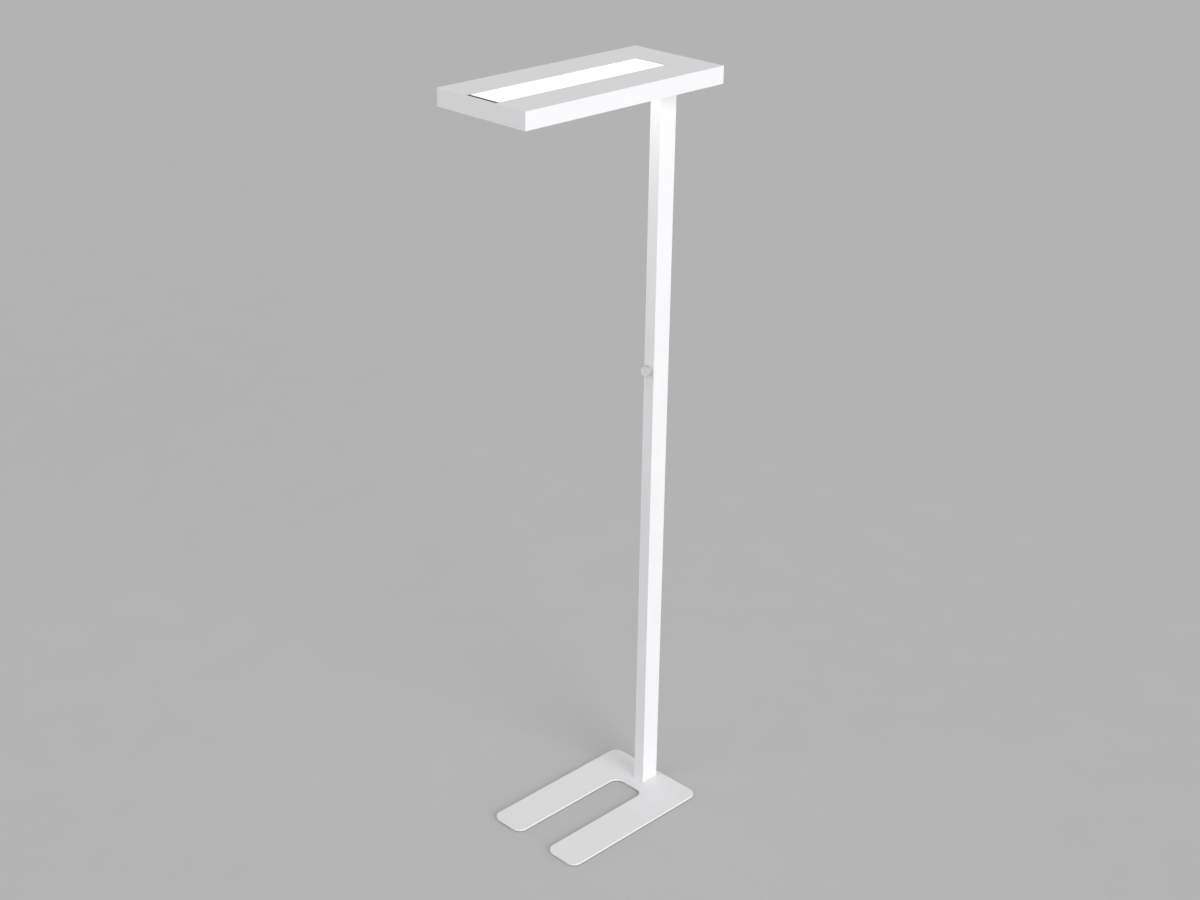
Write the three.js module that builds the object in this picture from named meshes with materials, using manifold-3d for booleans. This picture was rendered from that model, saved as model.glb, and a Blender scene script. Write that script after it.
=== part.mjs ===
// Free-standing office floor lamp: a U-shaped steel foot, a rectangular post with a
// push-and-turn dimmer, and a flat head that lights the ceiling and the desk.
// Millimetres, +Z up. The origin is on the floor at the post's axis, and +X points from
// the post to the tips of the foot and to the free end of the head.

import * as THREE from 'three';
import { mergeVertices } from 'three/addons/utils/BufferGeometryUtils.js';
import Module from 'manifold-3d';

const wasm = await Module();
wasm.setup();

// ---- driving dimensions ----

// Clearances
const seat = 0.3; // between two pieces that rest on each other
const clear = 0.3; // at each side of a piece that fits in another
const running = 0.08; // around a shaft that turns in its bush

// Whole lamp
const overallHeight = 1950;

// Foot
const footWidth = 302;
const footRear = 42; // post axis to the rear edge
const footReach = 417; // post axis to the tips of the legs
const footCorner = 25;
const footThickness = 5;
const slotWidth = 99;
const slotRoot = 60; // post axis to the root of the slot
const padThickness = 2;
const padRadius = 12;
const padInset = 30; // pad centre to the plate's edges
const centrePadRadius = 9;

// Post, an extruded rectangular tube
const postDepth = 52; // along X
const postWidth = 33; // along Y
const postWall = 2;
const postCorner = 1;
const postRise = 15; // reach of the post above the head's lower rim

// Blocks in the two ends of the post, and the bolts along the post
const footBlockHeight = 45;
const topBlockHeight = 30;
const boltX = 15;
const boltY = 7.5;
const boltRadius = 3;
const boltLength = 20;
const sunkHeadRadius = 6;
const sunkHeadHeight = 3.2;
const boltHeadRadius = 5.2;
const boltHeadHeight = 3.3;
const boltRunOut = 2; // depth of a tapped hole past its screw
const leadHoleRadius = 7.5;

// Screws across the post, into its blocks
const crossRadius = 2.5;
const crossLength = 12;
const crossHeadRadius = 4.7;
const crossHeadHeight = 2.7;
const footCrossY = 7;
const footCrossHeight = 30; // above the post's lower end
const topCrossDrop = 5.3; // below the post's upper end

// Mains inlet in the rear of the post
const inletHeight = 100; // above the post's lower end
const inletWidth = 20;
const inletTall = 27;
const inletWall = 1.5;
const inletChamfer = 4.5;
const inletRecess = 17;
const inletBack = 3;
const inletFlange = 2; // thickness of the flange outside the post
const inletBorder = 1.8; // reach of the flange past the cut-out
const inletLug = 1.2;
const inletLugLength = 4;
const pinWidth = 4;
const pinThickness = 2;
const pinSetback = 4; // mouth of the recess to the pins' tips
const pinTab = 6;
const pinSpacing = 14; // live to neutral
const pinOffset = 4; // earth to the line of the other two
const socketDepth = 12; // crimp housing on the mains lead
const socketWidth = 13;
const socketTall = 24;

// Leads
const mainsLeadRadius = 3.2;
const controlLeadRadius = 1.8;
const supplyLeadRadius = 2.6;
const ledLeadRadius = 1.5;
const leadGap = 1; // between the two leads in the post

// Dimmer on the front of the post
const dimmerHeight = 1193; // above the floor
const dimmerSize = 18;
const dimmerDepth = 11;
const dimmerShell = 1.5;
const bushRadius = 4.5;
const bushReach = 3; // past the post's face
const nutFlats = 13;
const nutThickness = 2;
const shaftRadius = 3;
const shaftInKnob = 5;
const shaftFlat = 1.5; // depth of the flat that keys the knob
const plungerRadius = 4.5;
const plungerThickness = 1.5;
const plungerStem = 2.5;
const pushTravel = 1;
const travelSpare = 0.5; // left over when the knob is pushed
const knobRadius = 12.5;
const knobReach = 16; // post's face to the knob's face
const knobChamfer = 0.8;
const knobSkirt = 2.5;
const knobRibs = 36;
const knobRibRadius = 0.45;
const knobMarkLength = 5;
const knobMarkWidth = 1.2;
const knobMarkDepth = 0.6;

// Head
const headLength = 610;
const headWidth = 276;
const headHeight = 41;
const headRear = 47.5; // post axis to the rear end
const shellWall = 1.5;
const trayThickness = 1.5;
const trayRecess = 2.5; // above the shell's lower rim
const bossRadius = 4;
const bossInset = 20; // from the shell's end walls
const bossGap = 1; // between a boss and the shell's side wall

// Bracket between post and head
const bracketThickness = 3;
const bracketDepth = 48;
const bracketGap = 0.6; // between its legs and the post
const bracketReach = 45; // post axis to the flange's edge
const bracketScrewY = 33;

// Screws that hold sheet metal
const sheetScrewRadius = 2;
const sheetScrewLength = 6;
const shellScrewLength = 10;
const sheetHeadRadius = 3.8;
const sheetHeadHeight = 2;

// Shares of a screw's own sizes
const crownShare = 0.6; // flat crown of a round head, of the head's radius
const edgeShare = 0.4; // upright edge of a round head, of the head's height
const tipShare = 0.25; // bevel at the tip, of the shank's radius
const socketShare = 0.65; // hexagon socket, of the shank's radius
const socketSink = 0.7; // depth of the socket, of the head's height

// Ceiling light
const windowWidth = 95;
const windowFrontMargin = 2;
const windowRearMargin = 90;
const uplightPanel = 3;
const uplightLip = 5; // under the edge of the window
const sealWidth = 9;
const sealSink = 0.1; // seal's top below the housing's
const reflectorWall = 1;
const reflectorInset = 1;
const reflectorFoot = 3; // floor left beside the board

// Desk light
const downlightMargin = 20; // opening to the head's sides and front
const downlightRear = 60; // post axis to the opening
const downlightPanel = 2.5;
const downlightLip = 6;
const frameWall = 1.5;
const frameHeight = 15.7;
const carrierThickness = 1.5;
const deskBoardY = 63;

// Boards with their light-emitting diodes
const boardWidth = 24;
const boardThickness = 1.6;
const boardInset = 18; // from the ends of the light's opening
const diodeSize = 3;
const diodeHeight = 0.8;
const diodePitch = 26;
const plugLength = 8;
const plugWidth = 5;
const plugHeight = 3.2;
const plugX = 418; // post axis to the plugs and the lead between the boards

// Driver and terminal block
const driverStart = 120; // post axis to the rear ear
const driverLength = 280;
const driverWidth = 30;
const driverHeight = 15.4;
const driverY = 92;
const driverEar = 9;
const driverEarWidth = 20;
const driverEarThickness = 1.5;
const driverChamfer = 2;
const driverLeadY = 8; // driver's axis to its leads
const driverLeadZ = 9; // driver's base to its leads
const terminalLength = 30;
const terminalWidth = 18;
const terminalHeight = 14;
const terminalY = 75;
const terminalWays = 3;
const terminalHole = 2;
const terminalEntry = 0.4; // height of the wires' holes, of the block's height

// Facets of round surfaces
const roundSides = 24;
const screwSides = 12;
const cornerSteps = 8;
const leadSides = 8; // of a lead's section

// ---- sizes that follow ----

const plateBottom = padThickness + seat;
const plateTop = plateBottom + footThickness;
const postBottom = plateTop + seat;
const headBottom = overallHeight - headHeight;
const postLength = headBottom + postRise - postBottom;
const postInDepth = postDepth - 2 * postWall;
const postInWidth = postWidth - 2 * postWall;

const headBack = -headRear;
const headFront = headLength - headRear;
const headSide = headWidth / 2;
const ceiling = headHeight - shellWall;
const trayTop = trayRecess + trayThickness;
const trayFloor = trayTop + seat; // where pieces stand on the tray
const carrierBottom = trayFloor + frameHeight + seat;
const carrierTop = carrierBottom + carrierThickness;
const carrierFloor = carrierTop + seat;
const bracketPlate = postRise + seat;
const bracketTop = bracketPlate + bracketThickness;

const windowBack = headBack + windowRearMargin;
const windowFront = headFront - windowFrontMargin;
const deskBack = downlightRear;
const deskFront = headFront - downlightMargin;
const deskSide = headSide - downlightMargin;

// Leads lie side by side in the post and share one hole in its top block
const leadPairWidth = 2 * (mainsLeadRadius + controlLeadRadius) + leadGap;
const mainsLeadX = mainsLeadRadius - leadPairWidth / 2;
const controlLeadX = leadPairWidth / 2 - controlLeadRadius;

// ---- shaping ----

// A closed three.js geometry as a solid that can be joined and cut
function toSolid(geometry) {
  const bare = geometry.clone();
  bare.deleteAttribute('normal');
  bare.deleteAttribute('uv');
  const merged = mergeVertices(bare, 1e-4);
  const mesh = new wasm.Mesh({
    numProp: 3,
    vertProperties: merged.attributes.position.array,
    triVerts: new Uint32Array(merged.index.array),
  });
  return new wasm.Manifold(mesh);
}

// The solid back as a three.js geometry
function toGeometry(solid) {
  const { vertProperties, triVerts } = solid.getMesh();
  const geometry = new THREE.BufferGeometry();
  geometry.setAttribute('position', new THREE.BufferAttribute(vertProperties, 3));
  geometry.setIndex(new THREE.BufferAttribute(triVerts, 1));
  geometry.computeVertexNormals();
  return geometry;
}

function join(solids) {
  return solids.reduce((whole, piece) => whole.add(piece));
}

function cut(solid, tools) {
  return tools.reduce((rest, tool) => rest.subtract(tool), solid);
}

// A box between two limits on each axis
function block([x0, x1], [y0, y1], [z0, z1]) {
  const geometry = new THREE.BoxGeometry(x1 - x0, y1 - y0, z1 - z0);
  geometry.translate((x0 + x1) / 2, (y0 + y1) / 2, (z0 + z1) / 2);
  return toSolid(geometry);
}

// A cylinder along Z, X or Y, centred on the other two coordinates
function rodZ(radius, start, end, x = 0, y = 0, sides = roundSides) {
  const geometry = new THREE.CylinderGeometry(radius, radius, end - start, sides);
  geometry.rotateX(Math.PI / 2);
  geometry.translate(x, y, (start + end) / 2);
  return toSolid(geometry);
}

function rodX(radius, start, end, y = 0, z = 0, sides = roundSides) {
  const geometry = new THREE.CylinderGeometry(radius, radius, end - start, sides);
  geometry.rotateZ(-Math.PI / 2);
  geometry.translate((start + end) / 2, y, z);
  return toSolid(geometry);
}

function rodY(radius, start, end, x = 0, z = 0, sides = roundSides) {
  const geometry = new THREE.CylinderGeometry(radius, radius, end - start, sides);
  geometry.translate(x, (start + end) / 2, z);
  return toSolid(geometry);
}

// An outline of [y, z] corners, drawn out along X
function prismX(corners, start, end) {
  const shape = new THREE.Shape(corners.map(([y, z]) => new THREE.Vector2(y, z)));
  const geometry = new THREE.ExtrudeGeometry(shape, { depth: end - start, bevelEnabled: false });
  geometry.rotateX(Math.PI / 2);
  geometry.rotateZ(Math.PI / 2);
  geometry.translate(start, 0, 0);
  return toSolid(geometry);
}

// An outline of [x, z] corners, drawn out along Y
function prismY(corners, start, end) {
  const shape = new THREE.Shape(corners.map(([x, z]) => new THREE.Vector2(x, z)));
  const geometry = new THREE.ExtrudeGeometry(shape, { depth: end - start, bevelEnabled: false });
  geometry.rotateX(Math.PI / 2);
  geometry.translate(0, end, 0);
  return toSolid(geometry);
}

// A straight-sided outline with right-angled corners, each rounded to one radius
function roundedPlate(corners, radius, bottom, top) {
  const shape = new THREE.Shape();
  const points = corners.map(([x, y]) => new THREE.Vector2(x, y));
  points.forEach((corner, i) => {
    const back = points.at(i - 1).clone().sub(corner).setLength(radius);
    const ahead = points[(i + 1) % points.length].clone().sub(corner).setLength(radius);
    const centre = corner.clone().add(back).add(ahead);
    const rightTurn = back.cross(ahead) > 0;
    const startAngle = Math.atan2(-ahead.y, -ahead.x);
    const endAngle = Math.atan2(-back.y, -back.x);
    shape.absarc(centre.x, centre.y, radius, startAngle, endAngle, rightTurn);
  });
  const geometry = new THREE.ExtrudeGeometry(shape, {
    depth: top - bottom,
    bevelEnabled: false,
    curveSegments: cornerSteps / 2,
  });
  geometry.translate(0, 0, bottom);
  return toSolid(geometry);
}

function rectangle(x0, x1, y0, y1) {
  return [[x0, y0], [x1, y0], [x1, y1], [x0, y1]];
}

// A hopper that widens upwards: its lower and upper rims are [x0, x1, y] rectangles
function hopper([lowBack, lowFront, lowSide], [highBack, highFront, highSide], bottom, top) {
  const across = [[-lowSide, bottom], [lowSide, bottom], [highSide, top], [-highSide, top]];
  const along = [[lowBack, bottom], [lowFront, bottom], [highFront, top], [highBack, top]];
  const reach = Math.max(highSide, lowSide) + 1;
  return prismX(across, highBack - 1, highFront + 1).intersect(prismY(along, -reach, reach));
}

// A turned solid about Z from its [radius, z] profile, which starts and ends on the axis
function turned(profile, sides = screwSides) {
  const points = profile.map(([radius, z]) => new THREE.Vector2(radius, z));
  const geometry = new THREE.LatheGeometry(points, sides);
  geometry.rotateX(Math.PI / 2);
  return toSolid(geometry);
}

// A screw along +Z: a low round head below z = 0, the shank above it, and a hexagon socket
function roundHeadScrew(radius, length, headRadius, headHeight) {
  const tip = radius * tipShare;
  const body = turned([
    [0, -headHeight],
    [headRadius * crownShare, -headHeight],
    [headRadius, -headHeight * edgeShare],
    [headRadius, 0],
    [radius, 0],
    [radius, length - tip],
    [radius - tip, length],
    [0, length],
  ]);
  const socketEnd = headHeight * (socketSink - 1);
  const socket = rodZ(radius * socketShare, -headHeight - 1, socketEnd, 0, 0, 6);
  return cut(body, [socket]);
}

// The same with a cone-shaped head that is let in flush above z = 0
function sunkHeadScrew(radius, length, headRadius, headHeight) {
  const tip = radius * tipShare;
  const body = turned([
    [0, 0],
    [headRadius, 0],
    [radius, headHeight],
    [radius, length - tip],
    [radius - tip, length],
    [0, length],
  ]);
  const socket = rodZ(radius * socketShare, -1, headHeight * socketSink, 0, 0, 6);
  return cut(body, [socket]);
}

// A round lead on a smooth line through its points
function lead(points, radius, steps) {
  const path = new THREE.CatmullRomCurve3(points.map((point) => new THREE.Vector3(...point)));
  const section = new THREE.Shape();
  section.absarc(0, 0, radius, 0, 2 * Math.PI, false);
  const settings = { extrudePath: path, steps, curveSegments: leadSides / 2 };
  return toSolid(new THREE.ExtrudeGeometry(section, settings));
}

// ---- finishes ----

function finish(color, roughness, metalness = 0) {
  return new THREE.MeshStandardMaterial({ color, roughness, metalness });
}

const whitePaint = finish(0xf0eff1, 0.5);
const whiteInside = finish(0xf7f7f5, 0.6);
const zincSteel = finish(0xb9bcc0, 0.4, 1);
const aluminium = finish(0xc9cbce, 0.45, 1);
const brass = finish(0xc9a85a, 0.35, 1);
const blackRubber = finish(0x222224, 0.85);
const blackPlastic = finish(0x2a2a2c, 0.55);
const greyRubber = finish(0x77787c, 0.8);
const greyPlastic = finish(0xbcbdc0, 0.5);
const whitePlastic = finish(0xe8e8e8, 0.5);
const knobPlastic = finish(0xd2d3d2, 0.45);
const opal = finish(0xffffff, 0.35);
const prismatic = finish(0xeef2f4, 0.2);
const boardWhite = finish(0xf4f4ee, 0.4);

// ---- assembly ----

const lamp = new THREE.Group();
const foot = new THREE.Group();
const post = new THREE.Group();
const inlet = new THREE.Group();
const dimmer = new THREE.Group();
const head = new THREE.Group();
post.position.z = postBottom;
inlet.position.set(-postDepth / 2, 0, inletHeight);
dimmer.position.set(postDepth / 2, 0, dimmerHeight - postBottom);
head.position.z = headBottom;
post.add(inlet, dimmer);
lamp.add(foot, post, head);

function place(group, name, solid, material, position = [0, 0, 0], turn = [0, 0, 0]) {
  const mesh = new THREE.Mesh(toGeometry(solid), material);
  mesh.name = name;
  mesh.position.set(...position);
  mesh.rotation.set(...turn);
  group.add(mesh);
}

const signs = [-1, 1];
const boltPlaces = signs.flatMap((sx) => signs.map((sy) => [sx * boltX, sy * boltY]));

// ---- foot ----

function makeFoot() {
  const halfWidth = footWidth / 2;
  const halfSlot = slotWidth / 2;
  const outline = [
    [-footRear, -halfWidth],
    [footReach, -halfWidth],
    [footReach, -halfSlot],
    [slotRoot, -halfSlot],
    [slotRoot, halfSlot],
    [footReach, halfSlot],
    [footReach, halfWidth],
    [-footRear, halfWidth],
  ];
  const plate = roundedPlate(outline, footCorner, plateBottom, plateTop);
  const screwHole = turned([
    [0, -1],
    [sunkHeadRadius + clear, -1],
    [sunkHeadRadius + clear, 0],
    [boltRadius + clear, sunkHeadHeight],
    [boltRadius + clear, footThickness + 1],
    [0, footThickness + 1],
  ]);
  const holes = boltPlaces.map(([x, y]) => screwHole.translate([x, y, plateBottom]));
  place(foot, 'base_plate', cut(plate, holes), whitePaint);

  const legMiddle = (halfWidth + halfSlot) / 2;
  const pads = [
    ['foot_pad_centre', 0, 0, centrePadRadius],
    ['foot_pad_front_left', footReach - padInset, legMiddle, padRadius],
    ['foot_pad_front_right', footReach - padInset, -legMiddle, padRadius],
    ['foot_pad_rear_left', padInset - footRear, halfWidth - padInset, padRadius],
    ['foot_pad_rear_right', padInset - footRear, padInset - halfWidth, padRadius],
  ];
  for (const [name, x, y, radius] of pads) {
    place(foot, name, rodZ(radius, 0, padThickness), blackRubber, [x, y, 0]);
  }

  boltPlaces.forEach(([x, y], i) => {
    const screw = sunkHeadScrew(boltRadius, boltLength, sunkHeadRadius, sunkHeadHeight);
    place(foot, `base_screw_${i + 1}`, screw, zincSteel, [x, y, plateBottom]);
  });
}

// ---- post ----

// Block that fills the post between two heights, without its holes
function postBlock(bottom, top) {
  const halfDepth = postInDepth / 2 - clear;
  const halfWidth = postInWidth / 2 - clear;
  return block([-halfDepth, halfDepth], [-halfWidth, halfWidth], [bottom, top]);
}

function makePost() {
  const halfDepth = postDepth / 2;
  const halfWidth = postWidth / 2;
  const outline = rectangle(-halfDepth, halfDepth, -halfWidth, halfWidth);
  const tube = roundedPlate(outline, postCorner, 0, postLength);
  const hollow = block(
    [-postInDepth / 2, postInDepth / 2],
    [-postInWidth / 2, postInWidth / 2],
    [-1, postLength + 1],
  );
  const rearWall = [-halfDepth - 1, 1 - postInDepth / 2];
  const crossHole = crossRadius + clear;
  const topCross = postLength - topCrossDrop;
  const cuts = [
    hollow,
    block(
      rearWall,
      [-inletWidth / 2 - clear, inletWidth / 2 + clear],
      [inletHeight - inletTall / 2 - clear, inletHeight + inletTall / 2 + clear],
    ),
    rodX(crossHole, ...rearWall, -footCrossY, footCrossHeight, screwSides),
    rodX(crossHole, ...rearWall, footCrossY, footCrossHeight, screwSides),
    rodX(crossHole, ...rearWall, 0, topCross, screwSides),
    rodX(bushRadius + clear, postInDepth / 2 - 1, halfDepth + 1, 0, dimmerHeight - postBottom),
  ];
  place(post, 'post', cut(tube, cuts), whitePaint);

  // Lower block, with the foot's screws from below and two from the rear
  const tappedTop = plateBottom + boltLength + boltRunOut - postBottom;
  const crossEnd = -halfDepth - seat + crossLength + boltRunOut;
  const footTapped = boltPlaces.map(([x, y]) => {
    return rodZ(boltRadius + clear, -1, tappedTop, x, y, screwSides);
  });
  const footCross = signs.map((side) => {
    return rodX(crossHole, -halfDepth, crossEnd, side * footCrossY, footCrossHeight, screwSides);
  });
  const footBlock = cut(postBlock(0, footBlockHeight), [...footTapped, ...footCross]);
  place(post, 'post_foot_block', footBlock, aluminium);

  // Upper block, with the leads through its middle and the bracket's bolts from above
  const tappedEnd = bracketTop + seat - boltLength - boltRunOut - postRise + postLength;
  const topTapped = boltPlaces.map(([x, y]) => {
    return rodZ(boltRadius + clear, tappedEnd, postLength + 1, x, y, screwSides);
  });
  const topBlock = cut(postBlock(postLength - topBlockHeight, postLength), [
    ...topTapped,
    rodX(crossHole, -halfDepth, crossEnd, 0, topCross, screwSides),
    rodZ(leadHoleRadius, postLength - topBlockHeight - 1, postLength + 1),
  ]);
  place(post, 'post_top_block', topBlock, aluminium);

  const crossPlaces = [
    ['foot_block_screw_1', -footCrossY, footCrossHeight],
    ['foot_block_screw_2', footCrossY, footCrossHeight],
    ['top_block_screw', 0, topCross],
  ];
  for (const [name, y, z] of crossPlaces) {
    const screw = roundHeadScrew(crossRadius, crossLength, crossHeadRadius, crossHeadHeight);
    place(post, name, screw, zincSteel, [-halfDepth - seat, y, z], [0, Math.PI / 2, 0]);
  }
}

// ---- mains inlet ----

// Snap-in appliance inlet, upright, its mouth facing the rear. Local x = 0 is the post's
// rear face and +x leads into the post.
const inletMouth = -seat - inletFlange;
const inletFloor = inletMouth + inletRecess;
const inletEnd = inletFloor + inletBack;
const socketStart = inletEnd + seat;
const pinPlaces = [
  ['inlet_pin_live', -pinOffset / 2, pinSpacing / 2],
  ['inlet_pin_neutral', -pinOffset / 2, -pinSpacing / 2],
  ['inlet_pin_earth', pinOffset / 2, 0],
];

// Upright outline whose two corners on the earth side are cut off
function inletOutline(inset) {
  const y = inletWidth / 2 - inset;
  const z = inletTall / 2 - inset;
  return [[-y, -z], [y - inletChamfer, -z], [y, inletChamfer - z],
    [y, z - inletChamfer], [y - inletChamfer, z], [-y, z]];
}

// Slot or blade at one pin's place
function pinBlade(y, z, start, end, gap = 0) {
  const halfWidth = pinWidth / 2 + gap;
  const halfThickness = pinThickness / 2 + gap;
  return block([start, end], [y - halfWidth, y + halfWidth], [z - halfThickness, z + halfThickness]);
}

function makeInlet() {
  const flangeY = inletWidth / 2 + inletBorder;
  const flangeZ = inletTall / 2 + inletBorder;
  const lugStart = postWall + seat;
  const lugTop = inletTall / 2 + inletLug;
  const lugs = signs.map((side) => {
    const corners = [
      [lugStart, side * (inletTall / 2 - 1)],
      [lugStart, side * lugTop],
      [lugStart + inletLugLength, side * (inletTall / 2 - 1)],
    ];
    return prismY(side > 0 ? corners.reverse() : corners, -inletWidth / 5, inletWidth / 5);
  });
  const body = join([
    block([inletMouth, -seat], [-flangeY, flangeY], [-flangeZ, flangeZ]),
    prismX(inletOutline(0), -seat - inletFlange / 2, inletEnd),
    ...lugs,
  ]);
  const cuts = pinPlaces.map(([, y, z]) => pinBlade(y, z, inletFloor - 1, inletEnd + 1, clear / 2));
  cuts.push(prismX(inletOutline(inletWall), inletMouth - 1, inletFloor));
  place(inlet, 'mains_inlet', cut(body, cuts), blackPlastic);

  for (const [name, y, z] of pinPlaces) {
    place(inlet, name, pinBlade(y, z, inletMouth + pinSetback, inletEnd + pinTab), brass);
  }
}

// ---- dimmer ----

// Local x = 0 is the post's front face and +x points out of it
const bodyFront = -postWall - seat;
const bodyRear = bodyFront - dimmerDepth;
const chamberRear = bodyRear + dimmerShell;
const plungerRear = chamberRear + pushTravel + travelSpare;
const shaftRear = plungerRear + plungerThickness + plungerStem + seat;
const knobRear = pushTravel + travelSpare;
const knobCeiling = bushReach + pushTravel + travelSpare;
const shaftFront = knobCeiling + shaftInKnob;

function makeDimmer() {
  const half = dimmerSize / 2;
  const chamberRadius = half - dimmerShell;
  const chamberFront = bodyFront - dimmerShell;
  const body = join([
    block([bodyRear, bodyFront], [-half, half], [-half, half]),
    rodX(bushRadius, bodyFront - 1, bushReach),
  ]);
  place(dimmer, 'dimmer_body', cut(body, [
    rodX(chamberRadius, chamberRear, chamberFront),
    rodX(shaftRadius + running, chamberFront - 1, bushReach + 1),
  ]), blackPlastic);

  const nutRadius = nutFlats / 2 / Math.cos(Math.PI / 6);
  const nut = rodX(nutRadius, seat, seat + nutThickness, 0, 0, 6);
  place(dimmer, 'dimmer_nut', cut(nut, [rodX(bushRadius + clear, 0, seat + nutThickness + 1)]), zincSteel);

  // Disc that works the switch, with a stem that meets the shaft's end
  const stemFront = plungerRear + plungerThickness + plungerStem;
  const plunger = join([
    rodX(plungerRadius, plungerRear, plungerRear + plungerThickness),
    rodX(shaftRadius - 1, plungerRear + plungerThickness / 2, stemFront),
  ]);
  place(dimmer, 'dimmer_plunger', plunger, greyPlastic);

  // Shaft, flattened where it is in the knob
  const flatTop = [shaftRadius - shaftFlat, shaftRadius + 1];
  const flat = block([knobCeiling, shaftFront + 1], [-shaftRadius - 1, shaftRadius + 1], flatTop);
  place(dimmer, 'dimmer_shaft', cut(rodX(shaftRadius, shaftRear, shaftFront), [flat]), aluminium);

  // Knob: a turned cap with a ribbed rim, hollow over the nut
  const cap = turned([
    [0, knobRear],
    [knobRadius, knobRear],
    [knobRadius, knobReach - knobChamfer],
    [knobRadius - knobChamfer, knobReach],
    [0, knobReach],
  ], 2 * knobRibs).rotate([0, 90, 0]);
  const grooves = Array.from({ length: knobRibs }, (_, i) => {
    const angle = (2 * Math.PI * i) / knobRibs;
    const y = knobRadius * Math.cos(angle);
    const z = knobRadius * Math.sin(angle);
    return rodX(knobRibRadius, knobRear - 1, knobReach - 2 * knobChamfer, y, z, 6);
  });
  const bore = rodX(shaftRadius + clear / 2, knobCeiling - 1, shaftFront + seat);
  const key = block(
    [knobCeiling - 1, shaftFront + seat + 1],
    [-shaftRadius - 1, shaftRadius + 1],
    [shaftRadius - shaftFlat + clear / 2, shaftRadius + 1],
  );
  const mark = block(
    [knobReach - knobMarkDepth, knobReach + 1],
    [-knobMarkWidth / 2, knobMarkWidth / 2],
    [knobRadius - knobChamfer - 1 - knobMarkLength, knobRadius - knobChamfer - 1],
  );
  const knob = cut(cap, [
    ...grooves,
    rodX(knobRadius - knobSkirt, knobRear - 1, knobCeiling),
    cut(bore, [key]),
    mark,
  ]);
  place(dimmer, 'dimmer_knob', knob, knobPlastic);
}

// ---- bracket between post and head ----

const sheetScrewHole = sheetScrewRadius + clear;
const bracketScrewPlaces = signs.flatMap((sx) => {
  return signs.map((sy) => [sx * boltX, sy * bracketScrewY]);
});

function makeBracket() {
  const legInside = postWidth / 2 + bracketGap;
  const legOutside = legInside + bracketThickness;
  const flangeTop = trayFloor + bracketThickness;
  const hat = [
    [-bracketReach, trayFloor],
    [-legInside, trayFloor],
    [-legInside, bracketPlate],
    [legInside, bracketPlate],
    [legInside, trayFloor],
    [bracketReach, trayFloor],
    [bracketReach, flangeTop],
    [legOutside, flangeTop],
    [legOutside, bracketTop],
    [-legOutside, bracketTop],
    [-legOutside, flangeTop],
    [-bracketReach, flangeTop],
  ];
  const holes = boltPlaces.map(([x, y]) => {
    return rodZ(boltRadius + clear, bracketPlate - 1, bracketTop + 1, x, y, screwSides);
  });
  holes.push(rodZ(leadHoleRadius, bracketPlate - 1, bracketTop + 1));
  for (const [x, y] of bracketScrewPlaces) {
    holes.push(rodZ(sheetScrewHole, trayFloor - 1, flangeTop + 1, x, y, screwSides));
  }
  const bracket = cut(prismX(hat, -bracketDepth / 2, bracketDepth / 2), holes);
  place(head, 'head_bracket', bracket, zincSteel);

  boltPlaces.forEach(([x, y], i) => {
    const bolt = roundHeadScrew(boltRadius, boltLength, boltHeadRadius, boltHeadHeight);
    const position = [x, y, bracketTop + seat];
    place(head, `bracket_bolt_${i + 1}`, bolt, zincSteel, position, [Math.PI, 0, 0]);
  });
  bracketScrewPlaces.forEach(([x, y], i) => {
    const screw = roundHeadScrew(sheetScrewRadius, sheetScrewLength, sheetHeadRadius, sheetHeadHeight);
    place(head, `bracket_screw_${i + 1}`, screw, zincSteel, [x, y, trayRecess - seat]);
  });
}

// ---- head: housing ----

const bossX = [headBack + shellWall + bossInset, headFront - shellWall - bossInset];
const bossY = headSide - shellWall - bossGap - bossRadius;
const bossPlaces = bossX.flatMap((x) => signs.map((side) => [x, side * bossY]));

function makeHousing() {
  const insideX = [headBack + shellWall, headFront - shellWall];
  const insideY = [shellWall - headSide, headSide - shellWall];
  const box = cut(block([headBack, headFront], [-headSide, headSide], [0, headHeight]), [
    block(insideX, insideY, [-1, ceiling]),
    block([windowBack, windowFront], [-windowWidth / 2, windowWidth / 2], [ceiling - 1, headHeight + 1]),
  ]);
  const bosses = bossPlaces.map(([x, y]) => {
    return rodZ(bossRadius, trayFloor, ceiling + shellWall / 2, x, y, screwSides);
  });
  const tapped = bossPlaces.map(([x, y]) => {
    const end = trayRecess - seat + shellScrewLength + boltRunOut;
    return rodZ(sheetScrewHole, trayFloor - 1, end, x, y, screwSides);
  });
  place(head, 'head_shell', cut(join([box, ...bosses]), tapped), whitePaint);

  bossPlaces.forEach(([x, y], i) => {
    const screw = roundHeadScrew(sheetScrewRadius, shellScrewLength, sheetHeadRadius, sheetHeadHeight);
    place(head, `shell_screw_${i + 1}`, screw, zincSteel, [x, y, trayRecess - seat]);
  });

  const postGapX = postDepth / 2 + bracketGap;
  const postGapY = postWidth / 2 + bracketGap;
  const through = [trayRecess - 1, trayTop + 1];
  const sheet = block(
    [insideX[0] + clear, insideX[1] - clear],
    [insideY[0] + clear, insideY[1] - clear],
    [trayRecess, trayTop],
  );
  const openings = [
    block([-postGapX, postGapX], [-postGapY, postGapY], through),
    block([deskBack, deskFront], [-deskSide, deskSide], through),
  ];
  for (const [x, y] of [...bracketScrewPlaces, ...bossPlaces]) {
    openings.push(rodZ(sheetScrewHole, ...through, x, y, screwSides));
  }
  place(head, 'head_tray', cut(sheet, openings), whitePaint);
}

// ---- lit boards ----

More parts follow.
